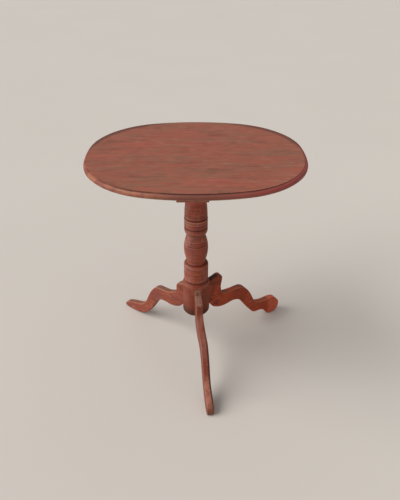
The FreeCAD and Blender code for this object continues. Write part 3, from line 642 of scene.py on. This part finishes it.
# Where the marks lie: in metres above the floor or to one side, or by how the surface is turned.
LEG_FADES = SimpleNamespace(
    on_round=Fade(0.97, 0.8),
    not_below=Fade(-0.5, 0.2),
    facing_up=Fade(0.35, 0.8),
    off_edge=Fade(0.5, 0.25),
    ear_slope=Fade(0.25, 0.6),
    sole=Fade(0.004, 0.001, 0.8),
    dark_side=Fade(0.0035, 0.007, 0.8),
    dark_below=Fade(0.2, 0.15),
    dark_above=Fade(0.01, 0.03),
    left_side=Fade(-0.5, -0.9, 0.5),
    low=Fade(0.11, 0.07, 0.7),
    low_slope=Fade(0.3, 0.6),
)
# The strengths of these fades differ from leg to leg. The ear's is counted from its top.
EDGE_SLANT = (0.12, 0.45)
EAR_DEPTH = (-0.026, -0.014)
HUB_DARKENING_REACH = (0.13, 0.07)
# The toe's colour fades in over this length, in metres.
TOE_EDGE = 0.012


def painted_sawn_pine(paint, node, main, second, worn, ear, toe):
    """Old oil paint on pine sawn to a scroll and rubbed with use.

    It gives the eye a satin red-brown with grain along the leg, edges rubbed to bare wood, upper faces worn
    to grey-brown, darkening next to the hub, dirt and painted shade in its corners, painted shade along the
    front leg's left side and right edge, and bare or dark wood on top of the ear.
    """
    material, tree, place, normal = new_material(f"brushed_oil_paint_on_sawn_pine_{node}")
    leg = LEGS[node]
    place, normal = [
        add(tree, "ShaderNodeVectorRotate", {
            "Vector": vector, "Angle": math.radians(-leg.angle),
        }, rotation_type="Z_AXIS").outputs[0]
        for vector in (place, normal)
    ]
    out, side, height = add(tree, "ShaderNodeSeparateXYZ", {"Vector": place}).outputs
    tilt = add(tree, "ShaderNodeSeparateXYZ", {"Vector": normal}).outputs
    slant = add(tree, "ShaderNodeMath", {0: tilt[Y]}, operation="ABSOLUTE").outputs[0]
    fades = LEG_FADES
    marks = draw_marks(tree, place, {
        **LEG_MARKS, "streaks": Marks(streak_size(paint, X), LEG_STREAKS, seed=STREAK_SEED),
    })
    coat = build_up(tree, main, (
        (marks.dull, second), (marks.bright, paint.column_orange), (marks.streaks, paint.streak),
        (marks.rubbed, paint.rubbed), (marks.specks, paint.grime_and_shade),
    ))

    # The rounded edges turn away from the leg's flat sides, so their slant finds them.
    upper = where(tree, (tilt[Z], fades.facing_up), (slant, fades.off_edge), marks.upper)
    on_edge = where(
        tree, (slant, Fade(*EDGE_SLANT, leg.edge_wear)), (slant, fades.on_round),
        (tilt[Z], fades.not_below), marks.edges,
    )
    coat = build_up(tree, coat, ((upper, worn), (on_edge, paint.ochre)))

    if node == "leg_front":
        # Its left side is painted dim as painted shade, feet have worn its foot, and its right edge is
        # painted dark as painted shade.
        own = draw_marks(tree, place, FRONT_LEG_MARKS)
        painted_shade_left_side = where(tree, (tilt[Y], fades.left_side))
        low_wear = where(tree, (height, fades.low), (tilt[Z], fades.low_slope), own.low_wear)
        # Painted shade along the right edge.
        dark_edge = where(
            tree, (side, fades.dark_side), (height, fades.dark_below), (height, fades.dark_above),
            own.dark_edge,
        )
        coat = build_up(tree, coat, (
            (painted_shade_left_side, paint.column_purple), (low_wear, paint.rubbed), (dark_edge, paint.grime_and_shade),
        ))

    # The whole ear has kept dark dirt on its slope, and the broken ones are bare. The whole leg's knob is
    # still red, and the worn toes are dark at their ends.
    # Each leg is darker next to the hub, the right leg most, and dirt and painted shade fill its corners.
    near_hub = where(tree, (out, Fade(*HUB_DARKENING_REACH, leg.hub_darkening)), marks.near_hub)
    dirt = dirt_and_shade_mask(tree, reach=0.014, strength=0.85)
    ear_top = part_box(node)[1].z
    on_ear = where(
        tree, (height, past(ear_top, *EAR_DEPTH, leg.ear_cover)), (tilt[Z], fades.ear_slope),
        (out, leg.ear_end), marks.ear,
    )
    toe_end = where(tree, (out, past(leg.reach - leg.toe_length, 0.0, TOE_EDGE)), marks.toe)
    sole = where(tree, (height, fades.sole))
    coat = build_up(tree, coat, (
        (near_hub, paint.streak), (dirt, paint.grime_and_shade), (on_ear, ear), (toe_end, toe), (sole, paint.dark_wood),
    ))

    relief = summed(tree, (marks.streaks, -0.4), (marks.rubbed, -0.4), (upper, -0.4), (on_ear, -0.5))
    finish_paint(tree, coat, upper, relief, relief_height=0.0005)
    return material


BEARER_MARKS = dict(
    orange=Marks((45, 90, 45), Fade(0.42, 0.62, 0.80), seed=1.0),
    rubbed=Marks((6, 30, 6), Fade(0.60, 0.74, 0.50), detail=6.0, seed=6.0),
    end=Marks((7, 7, 5), Fade(0.30, 0.55, 0.60), detail=6.0, seed=9.0),
)
BEARER_STREAKS = Fade(0.45, 0.70, 0.50)
FRONT_END_PAINTED_LIGHT = Fade(-0.6, -0.9)


def painted_bearer_pine(paint):
    """Old oil paint brushed on a planed pine bearer.

    It gives the eye a satin red-brown with grain front to back, a front end painted lighter as painted light
    with rubbed marks, and dirt and painted shade against the top.
    """
    material, tree, place, normal = new_material("brushed_oil_paint_on_planed_pine_bearer")
    ahead = add(tree, "ShaderNodeSeparateXYZ", {"Vector": normal}).outputs[Y]
    marks = draw_marks(tree, place, {
        **BEARER_MARKS, "streaks": Marks(streak_size(paint, Y), BEARER_STREAKS, seed=STREAK_SEED),
    })
    # Painted light: the end that faces the front is painted lighter, with rubbed marks.
    end = where(tree, (ahead, FRONT_END_PAINTED_LIGHT), marks.end)
    dirt = dirt_and_shade_mask(tree, reach=0.012, strength=0.5)
    coat = build_up(tree, paint.column, (
        (marks.orange, paint.column_orange), (marks.streaks, paint.streak), (marks.rubbed, paint.rubbed),
        (end, paint.rubbed), (dirt, paint.grime_and_shade),
    ))
    relief = summed(tree, (marks.streaks, -0.5), (marks.rubbed, 0.4))
    finish_paint(tree, coat, marks.rubbed, relief, relief_height=0.0005)
    return material


BEECH_FLECKS = Marks((1.2, 7, 1.2), Fade(0.55, 0.68, 0.80), detail=3.0)


def bare_beech(fixing):
    """Beech, turned and left bare: pale, with short brown flecks along the grain."""
    material, tree, place, _ = new_material("bare_turned_beech")
    flecks = blots(tree, place, BEECH_FLECKS)
    wood = build_up(tree, fixing.beech, ((flecks, fixing.beech_fleck),))
    finish_paint(tree, wood, flecks, summed(tree, (flecks, -0.4)), relief_height=0.0002)
    return material


STEEL_MARKS = dict(
    rust=Marks((2, 2, 2), Fade(0.30, 0.50), seed=2.0),
    spots=Marks((1.6, 1.6, 1.6), Fade(0.58, 0.68, 0.80), detail=5.0),
)
BARE_STEEL = Fade(0.8, 0.0)


def dulled_steel(fixing):
    """Slotted steel screws, dulled by age: grey metal with brown rust in the slot and round the rim."""
    material, tree, place, _ = new_material("turned_steel_dulled")
    marks = draw_marks(tree, place, STEEL_MARKS)
    rust = where(tree, dirt_and_shade_mask(tree, reach=0.003, strength=1.0), marks.rust)
    metal = build_up(tree, fixing.steel, ((marks.spots, fixing.rust), (rust, fixing.rust)))
    bare = where(tree, (marks.spots, BARE_STEEL))
    dullness = add(tree, "ShaderNodeMapRange", {"Value": marks.spots, "To Min": 0.42, "To Max": 0.75})
    bump = add(tree, "ShaderNodeBump", {"Height": marks.spots, "Distance": 0.0001})
    steel = add(tree, "ShaderNodeBsdfPrincipled", {
        "Base Color": metal, "Metallic": bare, "Roughness": dullness.outputs[0], "Normal": bump.outputs[0],
    })
    add(tree, "ShaderNodeOutputMaterial", {"Surface": steel.outputs[0]})
    return material


FLOOR_CLOUD = Marks((900, 900, 900), Fade(0.3, 0.7, 0.5))
FLOOR_CLOUD_TONE = 0.97


def studio_floor(stage):
    """Smooth painted board: pale and matte, with the faintest unevenness."""
    material, tree, place, _ = new_material("matte_painted_floor")
    cloud = blots(tree, place, FLOOR_CLOUD)
    darker = [FLOOR_CLOUD_TONE * share for share in stage.floor[:3]]
    tone = build_up(tree, stage.floor, ((cloud, [*darker, 1.0]),))
    floor = add(tree, "ShaderNodeBsdfPrincipled", {
        "Base Color": tone, "Roughness": 0.85, "Specular IOR Level": 0.2,
    })
    add(tree, "ShaderNodeOutputMaterial", {"Surface": floor.outputs[0]})
    return material


def give(node, material):
    """Put a material on every slot of a CAD node."""
    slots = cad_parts[node].material_slots
    if not slots:
        raise RuntimeError(f"{node} has no material slot")
    for slot in slots:
        slot.material = material


class WINETABLE_OT_top(Operator):
    """Paint the three boards of the oval top"""

    bl_idname = "wine_table.top"
    bl_label = "Top boards"

    def execute(self, context):
        paint = context.scene.wine_table_top
        for place, node in enumerate(("top_board_front", "top_board_middle", "top_board_rear")):
            give(node, painted_planed_pine(paint, BOARD_SEED * place))
        return {"FINISHED"}


class WINETABLE_OT_bearer(Operator):
    """Paint the bearer under the top"""

    bl_idname = "wine_table.bearer"
    bl_label = "Bearer"

    def execute(self, context):
        give("bearer", painted_bearer_pine(context.scene.wine_table_base))
        return {"FINISHED"}


class WINETABLE_OT_column(Operator):
    """Paint the turned column and the pegs in its hub"""

    bl_idname = "wine_table.column"
    bl_label = "Column and pegs"

    def execute(self, context):
        material = painted_turned_pine(context.scene.wine_table_base)
        give("column", material)
        give("leg_pegs", material)
        return {"FINISHED"}


class WINETABLE_OT_legs(Operator):
    """Paint the three scroll-sawn legs"""

    bl_idname = "wine_table.legs"
    bl_label = "Legs"

    def execute(self, context):
        paint = context.scene.wine_table_base
        broken = (paint.grey_wood, paint.toe)
        for node, *coats in (
            ("leg_left", paint.left_leg, paint.column_purple, paint.left_top, *broken),
            ("leg_right", paint.right_leg, paint.kept, paint.right_top, paint.dark_wood, paint.knob),
            ("leg_front", paint.front_leg, paint.column_purple, paint.front_top, *broken),
        ):
            give(node, painted_sawn_pine(paint, node, *coats))
        return {"FINISHED"}


class WINETABLE_OT_fixings(Operator):
    """Finish the dowels, the wedge and the screws"""

    bl_idname = "wine_table.fixings"
    bl_label = "Dowels, wedge and screws"

    def execute(self, context):
        fixing = context.scene.wine_table_fixing
        wood = bare_beech(fixing)
        give("edge_dowels", wood)
        give("tenon_wedge", wood)
        give("bearer_screws", dulled_steel(fixing))
        return {"FINISHED"}


# A broad sun has no falloff, so the floor stays even to its far edge.
LAMPS = {
    "window_light": Lamp(source=(-1.0, -0.25, 0.8), breadth=55),
    "ceiling_light": Lamp(source=(0.0, 0.15, 1.0), breadth=80),
    "room_light": Lamp(source=(0.25, -1.0, 0.45), breadth=80),
}
SENSOR_WIDTH = 36.0


class WINETABLE_OT_stage(Operator):
    """Set up the floor, the lamps, the sky and the camera"""

    bl_idname = "wine_table.stage"
    bl_label = "Stage"

    def execute(self, context):
        scene = context.scene
        stage = scene.wine_table_stage
        half = stage.floor_size / 2
        corners = [(-half, -half, 0), (half, -half, 0), (half, half, 0), (-half, half, 0)]
        mesh = bpy.data.meshes.new("floor")
        mesh.from_pydata(corners, [], [(0, 1, 2, 3)])
        mesh.materials.append(studio_floor(stage))
        floor = bpy.data.objects.new("floor", mesh)
        scene.collection.objects.link(floor)

        for name, kind in LAMPS.items():
            lamp = bpy.data.lights.new(name, "SUN")
            lamp.energy = getattr(stage, name)
            lamp.angle = math.radians(kind.breadth)
            holder = bpy.data.objects.new(name, lamp)
            holder.rotation_euler = Vector(kind.source).to_track_quat("Z", "Y").to_euler()
            scene.collection.objects.link(holder)

        world = bpy.data.worlds.new("even_sky")
        world.use_nodes = True
        sky = world.node_tree.nodes["Background"]
        sky.inputs["Color"].default_value = stage.sky_colour
        sky.inputs["Strength"].default_value = stage.sky
        scene.world = world

        lens = bpy.data.cameras.new("camera")
        lens.sensor_width = SENSOR_WIDTH
        lens.lens = stage.lens
        camera = bpy.data.objects.new("camera", lens)
        camera.location = stage.camera_place
        camera.rotation_euler = stage.camera_turn
        scene.collection.objects.link(camera)
        scene.camera = camera
        scene.view_settings.view_transform = "Standard"
        return {"FINISHED"}


STEPS = (
    WINETABLE_OT_top, WINETABLE_OT_bearer, WINETABLE_OT_column, WINETABLE_OT_legs, WINETABLE_OT_fixings,
    WINETABLE_OT_stage,
)
SETTINGS = (
    ("wine_table_top", TopPaint), ("wine_table_base", BasePaint), ("wine_table_fixing", FixingFinish),
    ("wine_table_stage", StageSettings),
)


class WINETABLE_PT_panel(Panel):
    """Steps and settings of the wine table"""

    bl_idname = "WINETABLE_PT_panel"
    bl_label = "Wine table"
    bl_space_type = "VIEW_3D"
    bl_region_type = "UI"
    bl_category = "Wine table"

    def draw(self, context):
        for step in STEPS:
            self.layout.operator(step.bl_idname)
        for name, group in SETTINGS:
            box = self.layout.box()
            for setting in group.__annotations__:
                box.prop(getattr(context.scene, name), setting)


def register():
    for name, group in SETTINGS:
        bpy.utils.register_class(group)
        setattr(bpy.types.Scene, name, PointerProperty(type=group))
    for item in (*STEPS, WINETABLE_PT_panel):
        bpy.utils.register_class(item)


def unregister():
    for item in reversed((*STEPS, WINETABLE_PT_panel)):
        bpy.utils.unregister_class(item)
    for name, group in reversed(SETTINGS):
        delattr(bpy.types.Scene, name)
        bpy.utils.unregister_class(group)


def main():
    register()
    bpy.ops.wine_table.top()
    bpy.ops.wine_table.bearer()
    bpy.ops.wine_table.column()
    bpy.ops.wine_table.legs()
    bpy.ops.wine_table.fixings()
    bpy.ops.wine_table.stage()
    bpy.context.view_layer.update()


if __name__ == "__main__":
    main()
